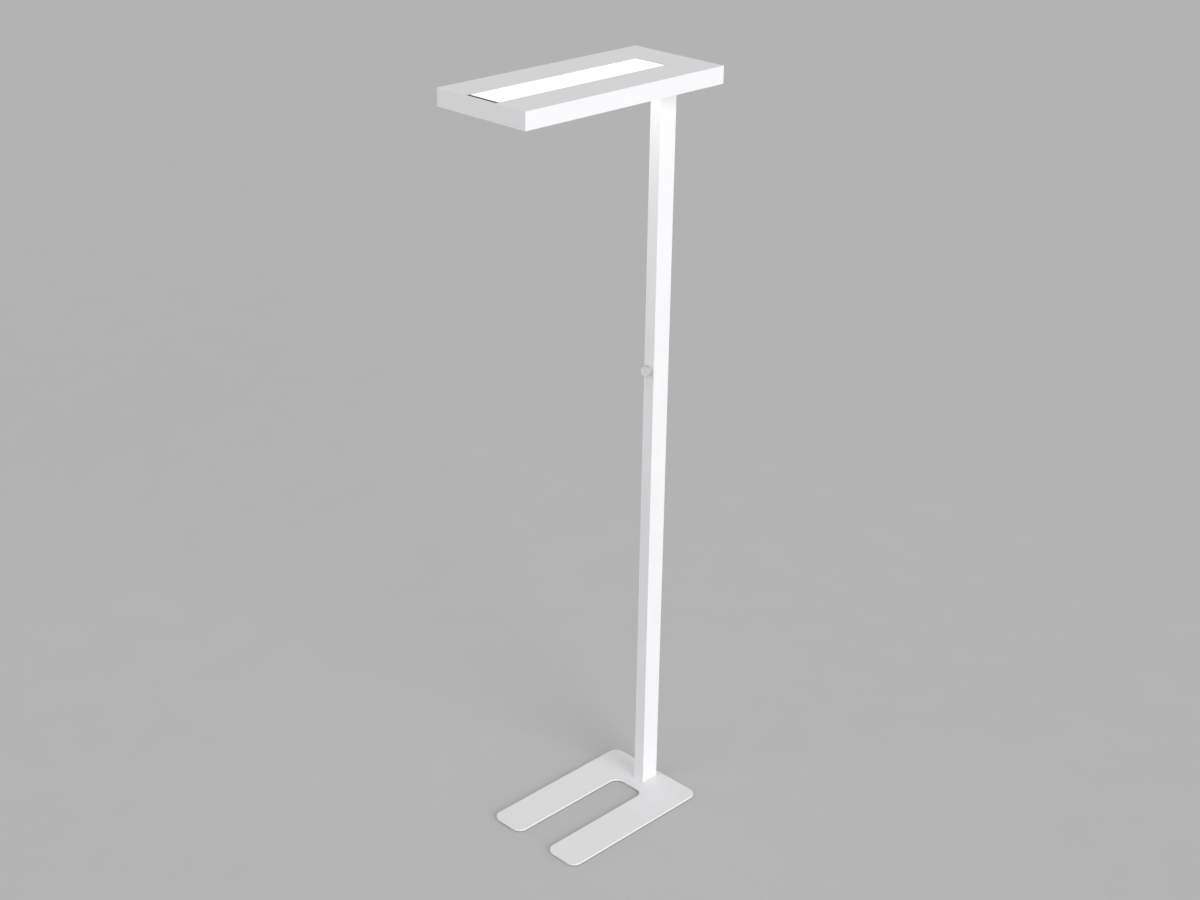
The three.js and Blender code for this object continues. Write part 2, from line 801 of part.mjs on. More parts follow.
// Board with a row of diodes and one plug per listed side, on its face at z = 0
function litBoard(back, front, plugSides) {
  const length = front - back;
  const halfWidth = boardWidth / 2;
  const count = Math.floor((length - 2 * diodeSize) / diodePitch) + 1;
  const first = back + (length - (count - 1) * diodePitch) / 2;
  const faceUp = boardThickness;
  const pieces = [block([back, front], [-halfWidth, halfWidth], [0, faceUp])];
  for (let i = 0; i < count; i += 1) {
    const x = first + i * diodePitch;
    pieces.push(block(
      [x - diodeSize / 2, x + diodeSize / 2],
      [-diodeSize / 2, diodeSize / 2],
      [faceUp / 2, faceUp + diodeHeight],
    ));
  }
  for (const side of plugSides) {
    const edge = side * halfWidth;
    const limits = [edge, edge - side * plugWidth].sort((a, b) => a - b);
    const along = [plugX - plugLength / 2, plugX + plugLength / 2];
    pieces.push(block(along, limits, [faceUp / 2, faceUp + plugHeight]));
  }
  return join(pieces);
}

// ---- head: ceiling light ----

const lipTop = ceiling - seat;
const lipBottom = lipTop - uplightPanel;

function makeCeilingLight() {
  const side = windowWidth / 2;
  const panelEnd = headFront - shellWall - clear;
  const panelX = [windowBack - uplightLip, panelEnd];
  const panel = block(panelX, [-side - uplightLip, side + uplightLip], [lipBottom, lipTop]);
  place(head, 'uplight_diffuser', panel, opal);

  // Dark foam strip on the end of the panel, which keeps its light off the front wall
  const sealX = [windowFront - clear - sealWidth, windowFront - clear];
  const seal = block(sealX, [clear - side, side - clear], [lipTop + seat, headHeight - sealSink]);
  place(head, 'uplight_end_seal', seal, greyRubber);

  const rimBack = windowBack - uplightLip + reflectorInset;
  const rimFront = panelEnd - reflectorInset;
  const rimSide = side + uplightLip - reflectorInset;
  const boardBack = windowBack + boardInset;
  const boardFront = windowFront - boardInset;
  const low = [boardBack - reflectorFoot, boardFront + reflectorFoot, boardWidth / 2 + reflectorFoot];
  const high = [rimBack + reflectorWall, rimFront - reflectorWall, rimSide - reflectorWall];
  const grown = ([back, front, half]) => [back - reflectorWall, front + reflectorWall, half + reflectorWall];
  const bottom = carrierFloor;
  const top = lipBottom - seat;
  const outer = hopper(grown(low), grown(high), bottom, top);
  const inner = hopper(low, high, bottom, top);
  const ends = [[bottom - 1, bottom], [top, top + 1]];
  const openEnds = [low, high].map(([back, front, half], i) => {
    return block([back, front], [-half, half], ends[i]);
  });
  const leadGate = block(
    [plugX - plugLength / 2, plugX + plugLength / 2],
    [0, rimSide],
    [bottom - 1, bottom + boardThickness + plugHeight + 1],
  );
  place(head, 'uplight_reflector', cut(outer, [inner, ...openEnds, leadGate]), whiteInside);

  const board = litBoard(boardBack, boardFront, [1]);
  place(head, 'uplight_board', board, boardWhite, [0, 0, carrierFloor]);
}

// ---- head: desk light ----

const panelBack = deskBack - downlightLip;
const panelFront = deskFront + downlightLip;
const panelSide = deskSide + downlightLip;
const frameOut = clear + frameWall;
const carrierX = [panelBack - frameOut, panelFront + frameOut];
const carrierSide = panelSide + frameOut;
const driverFront = driverStart + driverLength;
const ledExitX = driverFront - driverEar;
const dropX = plugX;
const dropY = driverY + driverLeadY;
const dropRadius = 2 * ledLeadRadius + 1;

function makeDeskLight() {
  const panel = block(
    [panelBack, panelFront],
    [-panelSide, panelSide],
    [trayFloor, trayFloor + downlightPanel],
  );
  place(head, 'downlight_diffuser', panel, prismatic);

  const heights = [trayFloor, trayFloor + frameHeight];
  const ring = cut(block(carrierX, [-carrierSide, carrierSide], heights), [
    block(
      [panelBack - clear, panelFront + clear],
      [-panelSide - clear, panelSide + clear],
      [heights[0] - 1, heights[1] + 1],
    ),
  ]);
  place(head, 'downlight_frame', ring, whiteInside);

  const sheet = block(carrierX, [-carrierSide, carrierSide], [carrierBottom, carrierTop]);
  const holes = driverScrewX.map((x) => {
    return rodZ(sheetScrewHole, carrierBottom - 1, carrierTop + 1, x, driverY, screwSides);
  });
  holes.push(rodZ(dropRadius, carrierBottom - 1, carrierTop + 1, dropX, dropY, screwSides));
  place(head, 'carrier_plate', cut(sheet, holes), whiteInside);

  const turnOver = [Math.PI, 0, 0];
  for (const [name, y] of [['downlight_board_left', deskBoardY], ['downlight_board_right', -deskBoardY]]) {
    const plugs = y > 0 ? [-1, 1] : [-1];
    const board = litBoard(deskBack + boardInset, deskFront - boardInset, plugs);
    place(head, name, board, boardWhite, [0, y, carrierBottom - seat], turnOver);
  }
}

// ---- head: driver and terminal block ----

const driverScrewX = [driverStart + driverEar / 2, driverFront - driverEar / 2];

function makeDriver() {
  const half = driverWidth / 2;
  const section = [
    [-half, 0],
    [half, 0],
    [half, driverHeight - driverChamfer],
    [half - driverChamfer, driverHeight],
    [driverChamfer - half, driverHeight],
    [-half, driverHeight - driverChamfer],
  ];
  const earHalf = driverEarWidth / 2;
  const body = join([
    prismX(section, driverStart + driverEar, driverFront - driverEar),
    block([driverStart, driverFront], [-earHalf, earHalf], [0, driverEarThickness]),
  ]);
  const holes = driverScrewX.map((x) => {
    return rodZ(sheetScrewHole, -1, driverEarThickness + 1, x, 0, screwSides);
  });
  place(head, 'led_driver', cut(body, holes), whitePlastic, [0, driverY, carrierFloor]);
  driverScrewX.forEach((x, i) => {
    const screw = roundHeadScrew(sheetScrewRadius, sheetScrewLength, sheetHeadRadius, sheetHeadHeight);
    const position = [x, driverY, carrierFloor + driverEarThickness + seat];
    place(head, `driver_screw_${i + 1}`, screw, zincSteel, position, [Math.PI, 0, 0]);
  });

  const pitch = terminalLength / terminalWays;
  const entry = terminalHeight * terminalEntry;
  const cuts = [];
  for (let i = 0; i < terminalWays; i += 1) {
    const x = (i + 0.5) * pitch - terminalLength / 2;
    cuts.push(rodY(terminalHole, -terminalWidth, terminalWidth, x, entry, screwSides));
    cuts.push(rodZ(terminalHole, entry, terminalHeight + 1, x, 0, screwSides));
  }
  const terminal = cut(block(
    [-terminalLength / 2, terminalLength / 2],
    [-terminalWidth / 2, terminalWidth / 2],
    [0, terminalHeight],
  ), cuts);
  place(head, 'terminal_block', terminal, whitePlastic, [0, terminalY, trayFloor]);
}

// ---- leads ----

function makeLeads() {
  // Mains lead: crimp housing behind the inlet, up the post, over the bracket to the terminals
  const socketX = [socketStart - postDepth / 2, socketStart + socketDepth - postDepth / 2];
  const socketTop = inletHeight + socketTall / 2;
  const slots = pinPlaces.map(([, y, z]) => {
    const slot = pinBlade(y, z, socketStart - 1, inletEnd + pinTab + clear, clear);
    return slot.translate([-postDepth / 2, 0, inletHeight]);
  });
  const socket = cut(block(
    socketX,
    [-socketWidth / 2, socketWidth / 2],
    [inletHeight - socketTall / 2, socketTop],
  ), slots);
  const toHead = headBottom - postBottom; // the head's lower rim, from the post's lower end
  const overBracket = bracketTop + seat + boltHeadHeight + mainsLeadRadius + 1;
  const terminalNear = terminalY - terminalWidth / 2 - seat;
  const entryZ = trayFloor + terminalHeight * terminalEntry;
  const straightTop = toHead + bracketTop;
  const riser = rodZ(mainsLeadRadius, socketTop - 1, straightTop, mainsLeadX, 0, leadSides);
  const bend = lead([
    [mainsLeadX, 0, straightTop - 1],
    [mainsLeadX, 1, toHead + overBracket - 4],
    [mainsLeadX, 12, toHead + overBracket + 2],
    [mainsLeadX, 30, toHead + overBracket],
    [mainsLeadX, 46, toHead + entryZ + 7],
    [mainsLeadX, terminalNear - 10, toHead + entryZ + 0.5],
    [mainsLeadX, terminalNear, toHead + entryZ],
  ], mainsLeadRadius, 22);
  place(post, 'mains_lead', join([socket, riser, bend]), blackRubber);

  // Control lead: from the dimmer up the post and across to the driver
  const dimmerRear = postDepth / 2 + bodyRear - seat;
  const dimmerLevel = dimmerHeight - postBottom;
  const driverNear = driverStart + driverEar - seat;
  const driverLevel = carrierFloor + driverLeadZ;
  const controlStart = lead([
    [dimmerRear, 0, dimmerLevel],
    [dimmerRear - 2, 0, dimmerLevel],
    [controlLeadX + 1, 0, dimmerLevel + 5],
    [controlLeadX, 0, dimmerLevel + 12],
    [controlLeadX, 0, dimmerLevel + 20],
  ], controlLeadRadius, 12);
  const controlRise = rodZ(
    controlLeadRadius,
    dimmerLevel + 19,
    straightTop,
    controlLeadX,
    0,
    leadSides,
  );
  const controlEnd = lead([
    [controlLeadX, 0, straightTop - 1],
    [controlLeadX, 1, toHead + overBracket - 4],
    [controlLeadX + 2, 12, toHead + overBracket],
    [controlLeadX + 8, 40, toHead + driverLevel],
    [38, 70, toHead + driverLevel],
    [76, driverY - driverLeadY, toHead + driverLevel],
    [driverNear, driverY - driverLeadY, toHead + driverLevel],
  ], controlLeadRadius, 26);
  place(post, 'control_lead', join([controlStart, controlRise, controlEnd]), greyRubber);

  // Supply lead: from the terminals to the driver
  const supplyLead = lead([
    [0, terminalY + terminalWidth / 2 + seat, entryZ],
    [0, terminalY + terminalWidth / 2 + 5, entryZ],
    [8, terminalY + terminalWidth / 2 + 17, entryZ + 3],
    [36, terminalY + terminalWidth / 2 + 22, driverLevel - 3],
    [76, driverY + driverLeadY, driverLevel],
    [driverNear, driverY + driverLeadY, driverLevel],
  ], supplyLeadRadius, 24);
  place(head, 'driver_supply_lead', supplyLead, whitePlastic);

  // Lead to the ceiling board, through the gate in its reflector
  const ceilingPlug = carrierFloor + boardThickness + plugHeight / 2;
  const uplightLead = lead([
    [ledExitX + seat, driverY - driverLeadY, driverLevel],
    [ledExitX + 10, driverY - driverLeadY, driverLevel],
    [plugX - 3, driverY - driverLeadY - 10, driverLevel - 3],
    [plugX, driverY - driverLeadY - 30, ceilingPlug],
    [plugX, boardWidth / 2 + 20, ceilingPlug],
    [plugX, boardWidth / 2 + seat, ceilingPlug],
  ], ledLeadRadius, 24);
  place(head, 'uplight_lead', uplightLead, whitePlastic);

  // Lead to the desk boards, down through the carrier plate
  const deskPlug = carrierBottom - seat - boardThickness - plugHeight / 2;
  const boardEdge = deskBoardY + boardWidth / 2;
  const downlightLead = lead([
    [ledExitX + seat, dropY, driverLevel],
    [ledExitX + 12, dropY, driverLevel - 0.5],
    [dropX - 2, dropY, carrierTop + 4],
    [dropX, dropY, carrierBottom - 1],
    [dropX, dropY - 5, deskPlug],
    [dropX, dropY - 15, deskPlug],
    [dropX, boardEdge + seat, deskPlug],
  ], ledLeadRadius, 26);
  place(head, 'downlight_lead', downlightLead, whitePlastic);

  const linkEnd = deskBoardY - boardWidth / 2 - seat;
  const link = rodY(ledLeadRadius, -linkEnd, linkEnd, plugX, deskPlug, leadSides);
  place(head, 'downlight_link_lead', link, whitePlastic);
}

makeFoot();
makePost();
makeInlet();
makeDimmer();
makeBracket();
makeHousing();
makeCeilingLight();
makeDeskLight();
makeDriver();
makeLeads();

export default lamp;
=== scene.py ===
import math
import bmesh
import bpy
from mathutils import Matrix, Quaternion, Vector


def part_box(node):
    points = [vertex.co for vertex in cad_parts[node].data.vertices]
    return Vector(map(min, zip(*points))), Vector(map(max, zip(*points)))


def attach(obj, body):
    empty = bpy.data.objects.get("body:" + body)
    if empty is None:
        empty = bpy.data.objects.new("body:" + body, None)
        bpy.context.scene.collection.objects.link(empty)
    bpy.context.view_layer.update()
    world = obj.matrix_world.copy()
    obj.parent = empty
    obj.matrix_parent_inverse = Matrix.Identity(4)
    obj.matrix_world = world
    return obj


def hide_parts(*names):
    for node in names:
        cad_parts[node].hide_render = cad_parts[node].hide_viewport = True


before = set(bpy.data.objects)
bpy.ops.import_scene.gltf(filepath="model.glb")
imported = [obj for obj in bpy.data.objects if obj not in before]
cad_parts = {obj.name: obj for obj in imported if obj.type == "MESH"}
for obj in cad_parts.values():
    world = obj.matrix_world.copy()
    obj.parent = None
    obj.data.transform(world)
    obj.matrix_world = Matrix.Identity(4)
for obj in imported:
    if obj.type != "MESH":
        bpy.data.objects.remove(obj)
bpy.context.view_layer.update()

mm = 0.001               # in metres
lampBody = "frame"
near = 0.1 * mm          # closer than this counts as the same place
spinWeld = 0.002 * mm
cutWeld = 0.001 * mm
outlineAngle = 60        # degrees: a corner of the outline, not a facet of its rounding
smoothAngle = 35         # degrees: edges sharper than this stay sharp in the shading
# what is drawn along its own Z looks along the lamp's X, with its Y upwards
alongX = Matrix(((0, 0, 1, 0), (1, 0, 0, 0), (0, 1, 0, 0), (0, 0, 0, 1)))
print("frame loaded:", len(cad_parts), "nodes")


# Helpers for the meshes
def middle(node):
    low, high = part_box(node)
    return (low + high) / 2


# Height of the mains inlet's axis, halfway between its outer pins
def inletMiddle():
    return (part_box("inlet_pin_live")[1].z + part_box("inlet_pin_neutral")[0].z) / 2


def boxMesh(low, high):
    bm = bmesh.new()
    low, high = Vector(low), Vector(high)
    bmesh.ops.create_cube(bm, size=1)
    bmesh.ops.scale(bm, vec=high - low, verts=bm.verts)
    bmesh.ops.translate(bm, vec=(low + high) / 2, verts=bm.verts)
    return bm


def flatOutline(points, z):
    bm = bmesh.new()
    bm.faces.new([bm.verts.new((x, y, z)) for x, y in points])
    return bm


def roundCorners(bm, radius, steps):
    bmesh.ops.bevel(bm, geom=bm.verts[:], offset=radius, offset_type="OFFSET", segments=steps,
                    profile=0.5, affect="VERTICES", material=-1)


def onlyVerts(geometry):
    return [g for g in geometry if isinstance(g, bmesh.types.BMVert)]


def raiseOutline(bm, height):
    up = bmesh.ops.extrude_face_region(bm, geom=bm.faces[:])["geom"]
    bmesh.ops.translate(bm, vec=(0, 0, height), verts=onlyVerts(up))
    bmesh.ops.recalc_face_normals(bm, faces=bm.faces)


def creases(bm, degrees=40):
    limit = math.radians(degrees)
    return [e for e in bm.edges if len(e.link_faces) == 2 and e.calc_face_angle() > limit]


# How far an edge runs along X, Y or Z
def run(edge, axis):
    return abs(edge.verts[0].co["XYZ".index(axis)] - edge.verts[1].co["XYZ".index(axis)])


def softenEdges(bm, edges, width, steps=3):
    bmesh.ops.bevel(bm, geom=edges, offset=width, offset_type="OFFSET", segments=steps,
                    profile=0.5, affect="EDGES", material=-1, clamp_overlap=True)


# A shape turned about Z from its profile of radius and height
def turnedMesh(profile, steps, place=(0, 0, 0)):
    bm = bmesh.new()
    verts = [bm.verts.new((r, 0, z)) for r, z in profile]
    for a, b in zip(verts, verts[1:]):
        bm.edges.new((a, b))
    bmesh.ops.spin(bm, geom=bm.verts[:] + bm.edges[:], cent=(0, 0, 0), axis=(0, 0, 1),
                   angle=2 * math.pi, steps=steps, use_merge=True, use_duplicate=False)
    bmesh.ops.remove_doubles(bm, verts=bm.verts, dist=spinWeld)
    bmesh.ops.recalc_face_normals(bm, faces=bm.faces)
    bmesh.ops.translate(bm, vec=place, verts=bm.verts)
    return bm


def rodMesh(radius, start, end, axis="Z", across=(0, 0), sides=32):
    bm = bmesh.new()
    bmesh.ops.create_cone(bm, cap_ends=True, segments=sides, radius1=radius, radius2=radius,
                          depth=end - start)
    bmesh.ops.translate(bm, vec=(0, 0, (start + end) / 2), verts=bm.verts)
    if axis == "X":
        quarter = Matrix.Rotation(math.pi / 2, 3, "Y")
        bmesh.ops.rotate(bm, cent=(0, 0, 0), matrix=quarter, verts=bm.verts)
        bmesh.ops.translate(bm, vec=(0, *across), verts=bm.verts)
    else:
        bmesh.ops.translate(bm, vec=(*across, 0), verts=bm.verts)
    return bm


def gathered(meshes):
    whole = bmesh.new()
    for bm in meshes:
        loose = bpy.data.meshes.new("loose")
        bm.to_mesh(loose)
        bm.free()
        whole.from_mesh(loose)
        bpy.data.meshes.remove(loose)
    return whole


def spareObject(bm, name):
    mesh = bpy.data.meshes.new(name)
    bm.to_mesh(mesh)
    bm.free()
    spare = bpy.data.objects.new(name, mesh)
    bpy.context.collection.objects.link(spare)
    return spare


def carve(bm, tools, operation="DIFFERENCE"):
    stock = spareObject(bm, "stock")
    tool = spareObject(gathered(tools), "tool")
    boolean = stock.modifiers.new("carve", "BOOLEAN")
    boolean.object = tool
    boolean.operation = operation
    boolean.solver = "EXACT"
    bpy.context.view_layer.update()
    made = bmesh.new()
    made.from_object(stock, bpy.context.evaluated_depsgraph_get())
    for spare in (stock, tool):
        mesh = spare.data
        bpy.data.objects.remove(spare)
        bpy.data.meshes.remove(mesh)
    bmesh.ops.remove_doubles(made, verts=made.verts, dist=cutWeld)
    return made


def finishPiece(bm, name, material, replaced, body=lampBody):
    mesh = bpy.data.meshes.new(name)
    bm.to_mesh(mesh)
    bm.free()
    mesh.shade_smooth()
    mesh.set_sharp_from_angle(angle=math.radians(smoothAngle))
    piece = bpy.data.objects.new(name, mesh)
    bpy.context.collection.objects.link(piece)
    mesh.materials.append(material)
    weighted = piece.modifiers.new("even shading", "WEIGHTED_NORMAL")
    weighted.keep_sharp = True
    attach(piece, body)
    if replaced:
        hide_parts(*replaced)
    return piece


# Every finish: a colour that drifts a little, a grain that moves roughness and bump
def makeFinish(name, look):
    v = dict(driftDetail=3, driftStart=0.3, driftEnd=0.7)
    material = bpy.data.materials.new(name)
    material.use_nodes = True
    nodes, links = material.node_tree.nodes, material.node_tree.links
    shader = nodes["Principled BSDF"]
    coords = nodes.new("ShaderNodeTexCoord")
    mapping = nodes.new("ShaderNodeMapping")
    mapping.inputs["Scale"].default_value = look.get("stretch", (1, 1, 1))
    links.new(coords.outputs["Object"], mapping.inputs["Vector"])

    drift = nodes.new("ShaderNodeTexNoise")
    drift.inputs["Scale"].default_value = look["driftScale"]
    drift.inputs["Detail"].default_value = v["driftDetail"]
    links.new(mapping.outputs["Vector"], drift.inputs["Vector"])
    ramp = nodes.new("ShaderNodeValToRGB")
    ramp.color_ramp.elements[0].position = v["driftStart"]
    ramp.color_ramp.elements[1].position = v["driftEnd"]
    ramp.color_ramp.elements[0].color = (*look["shade"], 1)
    ramp.color_ramp.elements[1].color = (*look["colour"], 1)
    links.new(drift.outputs["Fac"], ramp.inputs["Fac"])
    links.new(ramp.outputs["Color"], shader.inputs["Base Color"])

    grain = nodes.new("ShaderNodeTexNoise")
    grain.inputs["Scale"].default_value = look["grainScale"]
    grain.inputs["Detail"].default_value = look.get("grainDetail", 2)
    links.new(mapping.outputs["Vector"], grain.inputs["Vector"])
    spread = nodes.new("ShaderNodeMapRange")
    spread.inputs["To Min"].default_value = look["roughness"][0]
    spread.inputs["To Max"].default_value = look["roughness"][1]
    links.new(grain.outputs["Fac"], spread.inputs["Value"])
    links.new(spread.outputs["Result"], shader.inputs["Roughness"])
    bump = nodes.new("ShaderNodeBump")
    bump.inputs["Strength"].default_value = look.get("bumpStrength", 0.5)
    bump.inputs["Distance"].default_value = look["bumpDepth"]
    links.new(grain.outputs["Fac"], bump.inputs["Height"])
    links.new(bump.outputs["Normal"], shader.inputs["Normal"])

    for socket, value in look.get("sockets", {}).items():
        shader.inputs[socket].default_value = value
    return material


powderCoat = makeFinish("white powder coat", dict(
    colour=(0.86, 0.855, 0.87), shade=(0.84, 0.835, 0.85), driftScale=9,
    grainScale=1400, grainDetail=3, roughness=(0.38, 0.56), bumpStrength=0.35, bumpDepth=0.03 * mm,
    sockets={"Specular IOR Level": 0.4}))
reflectorWhite = makeFinish("matt reflector white", dict(
    colour=(0.92, 0.92, 0.91), shade=(0.89, 0.89, 0.88), driftScale=12,
    grainScale=2200, roughness=(0.6, 0.75), bumpStrength=0.3, bumpDepth=0.01 * mm))
zincPlate = makeFinish("bright zinc plate", dict(
    colour=(0.68, 0.69, 0.71), shade=(0.56, 0.58, 0.62), driftScale=160,
    grainScale=2600, grainDetail=4, roughness=(0.22, 0.42), bumpDepth=0.01 * mm,
    sockets={"Metallic": 1.0}))
milledAluminium = makeFinish("milled aluminium", dict(
    colour=(0.77, 0.78, 0.79), shade=(0.68, 0.69, 0.7), driftScale=60, stretch=(1, 1, 30),
    grainScale=700, grainDetail=4, roughness=(0.25, 0.45), bumpDepth=0.012 * mm,
    sockets={"Metallic": 1.0}))
pinBrass = makeFinish("stamped brass", dict(
    colour=(0.78, 0.62, 0.32), shade=(0.68, 0.52, 0.25), driftScale=220,
    grainScale=2400, roughness=(0.2, 0.38), bumpDepth=0.008 * mm, sockets={"Metallic": 1.0}))
padRubber = makeFinish("foot rubber", dict(
    colour=(0.03, 0.03, 0.032), shade=(0.022, 0.022, 0.024), driftScale=90,
    grainScale=1800, roughness=(0.72, 0.9), bumpDepth=0.04 * mm))
mouldedBlack = makeFinish("moulded black", dict(
    colour=(0.035, 0.035, 0.037), shade=(0.028, 0.028, 0.03), driftScale=70,
    grainScale=3200, roughness=(0.36, 0.52), bumpDepth=0.015 * mm))
blackSheath = makeFinish("black lead sheath", dict(
    colour=(0.03, 0.03, 0.031), shade=(0.022, 0.022, 0.024), driftScale=30,
    grainScale=900, roughness=(0.42, 0.6), bumpDepth=0.02 * mm))
# Painted shade: the dark foam strip at the window's front end stands in for a shadow gap
shadowGapFoam = makeFinish("dark foam strip, painted shadow gap", dict(
    colour=(0.07, 0.07, 0.072), shade=(0.045, 0.045, 0.047), driftScale=1500,
    grainScale=2600, grainDetail=4, roughness=(0.85, 0.98), bumpStrength=0.8, bumpDepth=0.12 * mm))
greyMoulding = makeFinish("grey moulding", dict(
    colour=(0.42, 0.42, 0.43), shade=(0.38, 0.38, 0.39), driftScale=80,
    grainScale=3000, roughness=(0.4, 0.55), bumpDepth=0.012 * mm))
# Painted shade: the trim's grey stands in for shade on the recess wall round the ceiling panel
recessShadeGrey = makeFinish("edge trim, grey as painted recess shade", dict(
    colour=(0.57, 0.57, 0.575), shade=(0.545, 0.545, 0.55), driftScale=90,
    grainScale=3000, roughness=(0.5, 0.65), bumpDepth=0.012 * mm))
knobGrey = makeFinish("light grey knob", dict(
    colour=(0.76, 0.77, 0.76), shade=(0.745, 0.755, 0.745), driftScale=90,
    grainScale=3600, grainDetail=3, roughness=(0.36, 0.52), bumpStrength=0.45,
    bumpDepth=0.015 * mm))
knobGrip = makeFinish("grey knob grip", dict(
    colour=(0.54, 0.545, 0.54), shade=(0.51, 0.515, 0.51), driftScale=140,
    grainScale=3600, grainDetail=3, roughness=(0.5, 0.66), bumpStrength=0.45,
    bumpDepth=0.015 * mm))
whiteMoulding = makeFinish("white moulding", dict(
    colour=(0.78, 0.78, 0.77), shade=(0.74, 0.74, 0.73), driftScale=60,
    grainScale=3000, roughness=(0.35, 0.5), bumpDepth=0.012 * mm))
boardMask = makeFinish("white board mask", dict(
    colour=(0.88, 0.88, 0.84), shade=(0.84, 0.84, 0.79), driftScale=400,
    grainScale=4000, roughness=(0.25, 0.4), bumpDepth=0.005 * mm))
opalAcrylic = makeFinish("lit opal acrylic", dict(
    colour=(0.62, 0.62, 0.62), shade=(0.6, 0.6, 0.6), driftScale=14,
    grainScale=2400, roughness=(0.3, 0.42), bumpStrength=0.2, bumpDepth=0.01 * mm,
    sockets={"Emission Color": (1, 1, 1, 1), "Emission Strength": 0.65}))
prismAcrylic = makeFinish("lit prismatic acrylic", dict(
    colour=(0.86, 0.88, 0.88), shade=(0.82, 0.84, 0.84), driftScale=20,
    grainScale=2600, roughness=(0.12, 0.22), bumpStrength=0.2, bumpDepth=0.008 * mm,
    sockets={"Emission Color": (1, 0.985, 0.96, 1), "Emission Strength": 2.2,
             "Coat Weight": 0.3}))
print("finishes made")


# The foot
def makeFootPlate():
    v = dict(corner=25 * mm, cornerSteps=14, slotRoot=60 * mm, slotHalf=49.5 * mm, rim=0.8 * mm,
             screwX=15 * mm, screwY=7.5 * mm, sunkRadius=6.3 * mm, sunkDepth=3.2 * mm,
             shankRadius=3.3 * mm, drillDepth=7 * mm, drillSteps=32)
    low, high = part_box("base_plate")
    half, slot, root = high.y, v["slotHalf"], v["slotRoot"]
    bm = flatOutline([(low.x, -half), (high.x, -half), (high.x, -slot), (root, -slot),
                      (root, slot), (high.x, slot), (high.x, half), (low.x, half)], low.z)
    roundCorners(bm, v["corner"], v["cornerSteps"])
    raiseOutline(bm, high.z - low.z)
    rims = [e for e in creases(bm, outlineAngle) if run(e, "Z") < near]
    softenEdges(bm, rims, v["rim"])
    sunk, shank = v["sunkRadius"], v["shankRadius"]
    profile = [(0, -mm), (sunk, -mm), (sunk, 0), (shank, v["sunkDepth"]),
               (shank, v["drillDepth"]), (0, v["drillDepth"])]
    holes = [turnedMesh(profile, v["drillSteps"],
                        place=(sideX * v["screwX"], sideY * v["screwY"], low.z))
             for sideX in (-1, 1) for sideY in (-1, 1)]
    finishPiece(carve(bm, holes), "footPlate", powderCoat, ["base_plate"])


def makePads():
    v = dict(edge=0.5 * mm, edgeRound=0.3, groove=0.3 * mm, rings=(0.3, 0.55, 0.8), steps=48)
    for node in ("foot_pad_centre", "foot_pad_front_left", "foot_pad_front_right",
                 "foot_pad_rear_left", "foot_pad_rear_right"):
        low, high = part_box(node)
        r, t, g = (high.x - low.x) / 2, high.z - low.z, v["groove"]
        edge, soft = v["edge"], v["edgeRound"] * v["edge"]
        # shallow rings are pressed into the face that meets the floor
        profile = [(0, 0)]
        for share in v["rings"]:
            ring = r * share
            profile += [(ring - 2 * g, 0), (ring - g, g), (ring, g), (ring + g, 0)]
        profile += [(r - edge, 0), (r - soft, soft), (r, edge), (r, t - edge), (r - edge, t),
                    (0, t)]
        centre = middle(node)
        bm = turnedMesh(profile, v["steps"], place=(centre.x, centre.y, low.z))
        name = node.replace("foot_pad_", "floorPad_")
        finishPiece(bm, name, padRubber, [node])


# Screws are drawn with the head at the bottom, then turned.
# Each is as long and as wide as its CAD node.
def makeScrews():
    v = dict(steps=28, tip=0.25, socketRadius=0.65, socketDepth=0.7, sunkRim=0.2 * mm,
             # the dome's shares of the head's radius and height
             dome=((0.45, 1), (0.7, 0.93), (0.88, 0.72), (0.98, 0.4), (1, 0.15), (0.98, 0)))
    upright = Matrix()
    downwards = Matrix.Rotation(math.pi, 4, "X")
    inwards = Matrix.Rotation(math.pi / 2, 4, "Y")
    kinds = [dict(nodes="base_screw", turn=upright, shank=3 * mm, head=3.2 * mm),
             dict(nodes="foot_block_screw", turn=inwards, shank=2.5 * mm, head=2.7 * mm),
             dict(nodes="top_block_screw", turn=inwards, shank=2.5 * mm, head=2.7 * mm),
             dict(nodes="bracket_bolt", turn=downwards, shank=3 * mm, head=3.3 * mm),
             dict(nodes="bracket_screw", turn=upright, shank=2 * mm, head=2 * mm),
             dict(nodes="shell_screw", turn=upright, shank=2 * mm, head=2 * mm),
             dict(nodes="driver_screw", turn=downwards, shank=2 * mm, head=2 * mm)]
    for kind in kinds:
        r, h, turn = kind["shank"], kind["head"], kind["turn"]
        for node in sorted(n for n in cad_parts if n.startswith(kind["nodes"])):
            low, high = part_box(node)
            size = high - low
            wide = size.y / 2
            whole = size.x if turn is inwards else size.z
            if kind["nodes"] == "base_screw":
                start, end = 0, whole
                profile = [(0, 0), (wide - v["sunkRim"], 0), (wide, v["sunkRim"]), (r, h)]
            else:
                start, end = -h, whole - h
                profile = [(0, -h)] + [(wide * x, -h * z) for x, z in v["dome"]] + [(r, 0)]
            profile += [(r, end - v["tip"] * r), (r * (1 - v["tip"]), end), (0, end)]
            bm = turnedMesh(profile, v["steps"])
            socket = rodMesh(r * v["socketRadius"], start - mm, start + v["socketDepth"] * h,
                             sides=6)
            bm = carve(bm, [socket])
            offset = turn.to_3x3() @ Vector((0, 0, (start + end) / 2))
            place = Matrix.Translation(middle(node) - offset)
            bmesh.ops.transform(bm, matrix=place @ turn, verts=bm.verts)
            finishPiece(bm, node.replace("_", "-"), zincPlate, [node])


